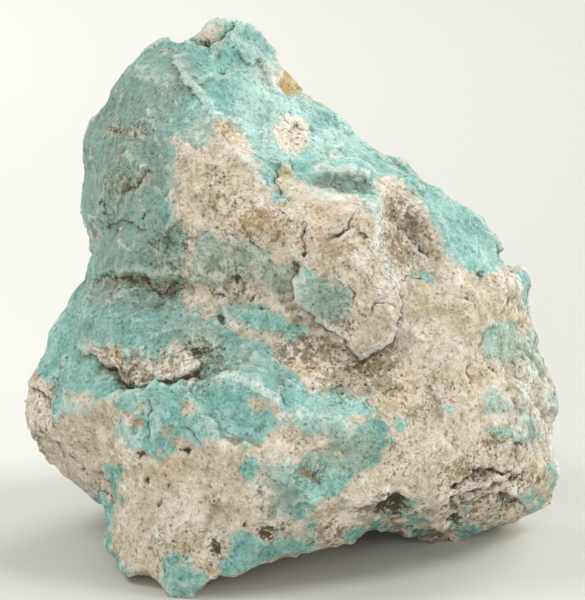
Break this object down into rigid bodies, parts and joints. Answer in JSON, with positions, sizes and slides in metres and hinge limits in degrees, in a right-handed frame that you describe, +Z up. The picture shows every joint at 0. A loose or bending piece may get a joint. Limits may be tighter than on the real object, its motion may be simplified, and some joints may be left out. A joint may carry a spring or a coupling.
{
  "type": "raw turquoise nugget",
  "caption": "Free-standing broken lump of pale matrix rock with turquoise skins, resting on three low worn points.",
  "frame": {"origin": "middle of the bounding box, on the ground the stone rests on", "axes": "+Z up as the stone rests, +Y into the stone from its broad broken front, +X to the right seen from the front"},
  "size_m": [0.0962, 0.078, 0.0912],
  "materials": {
    "turquoise_in_matrix": "matte"
  },
  "bodies": {
    "root": {"turquoise_nugget": "turquoise_in_matrix"}
  },
  "joints": []
}
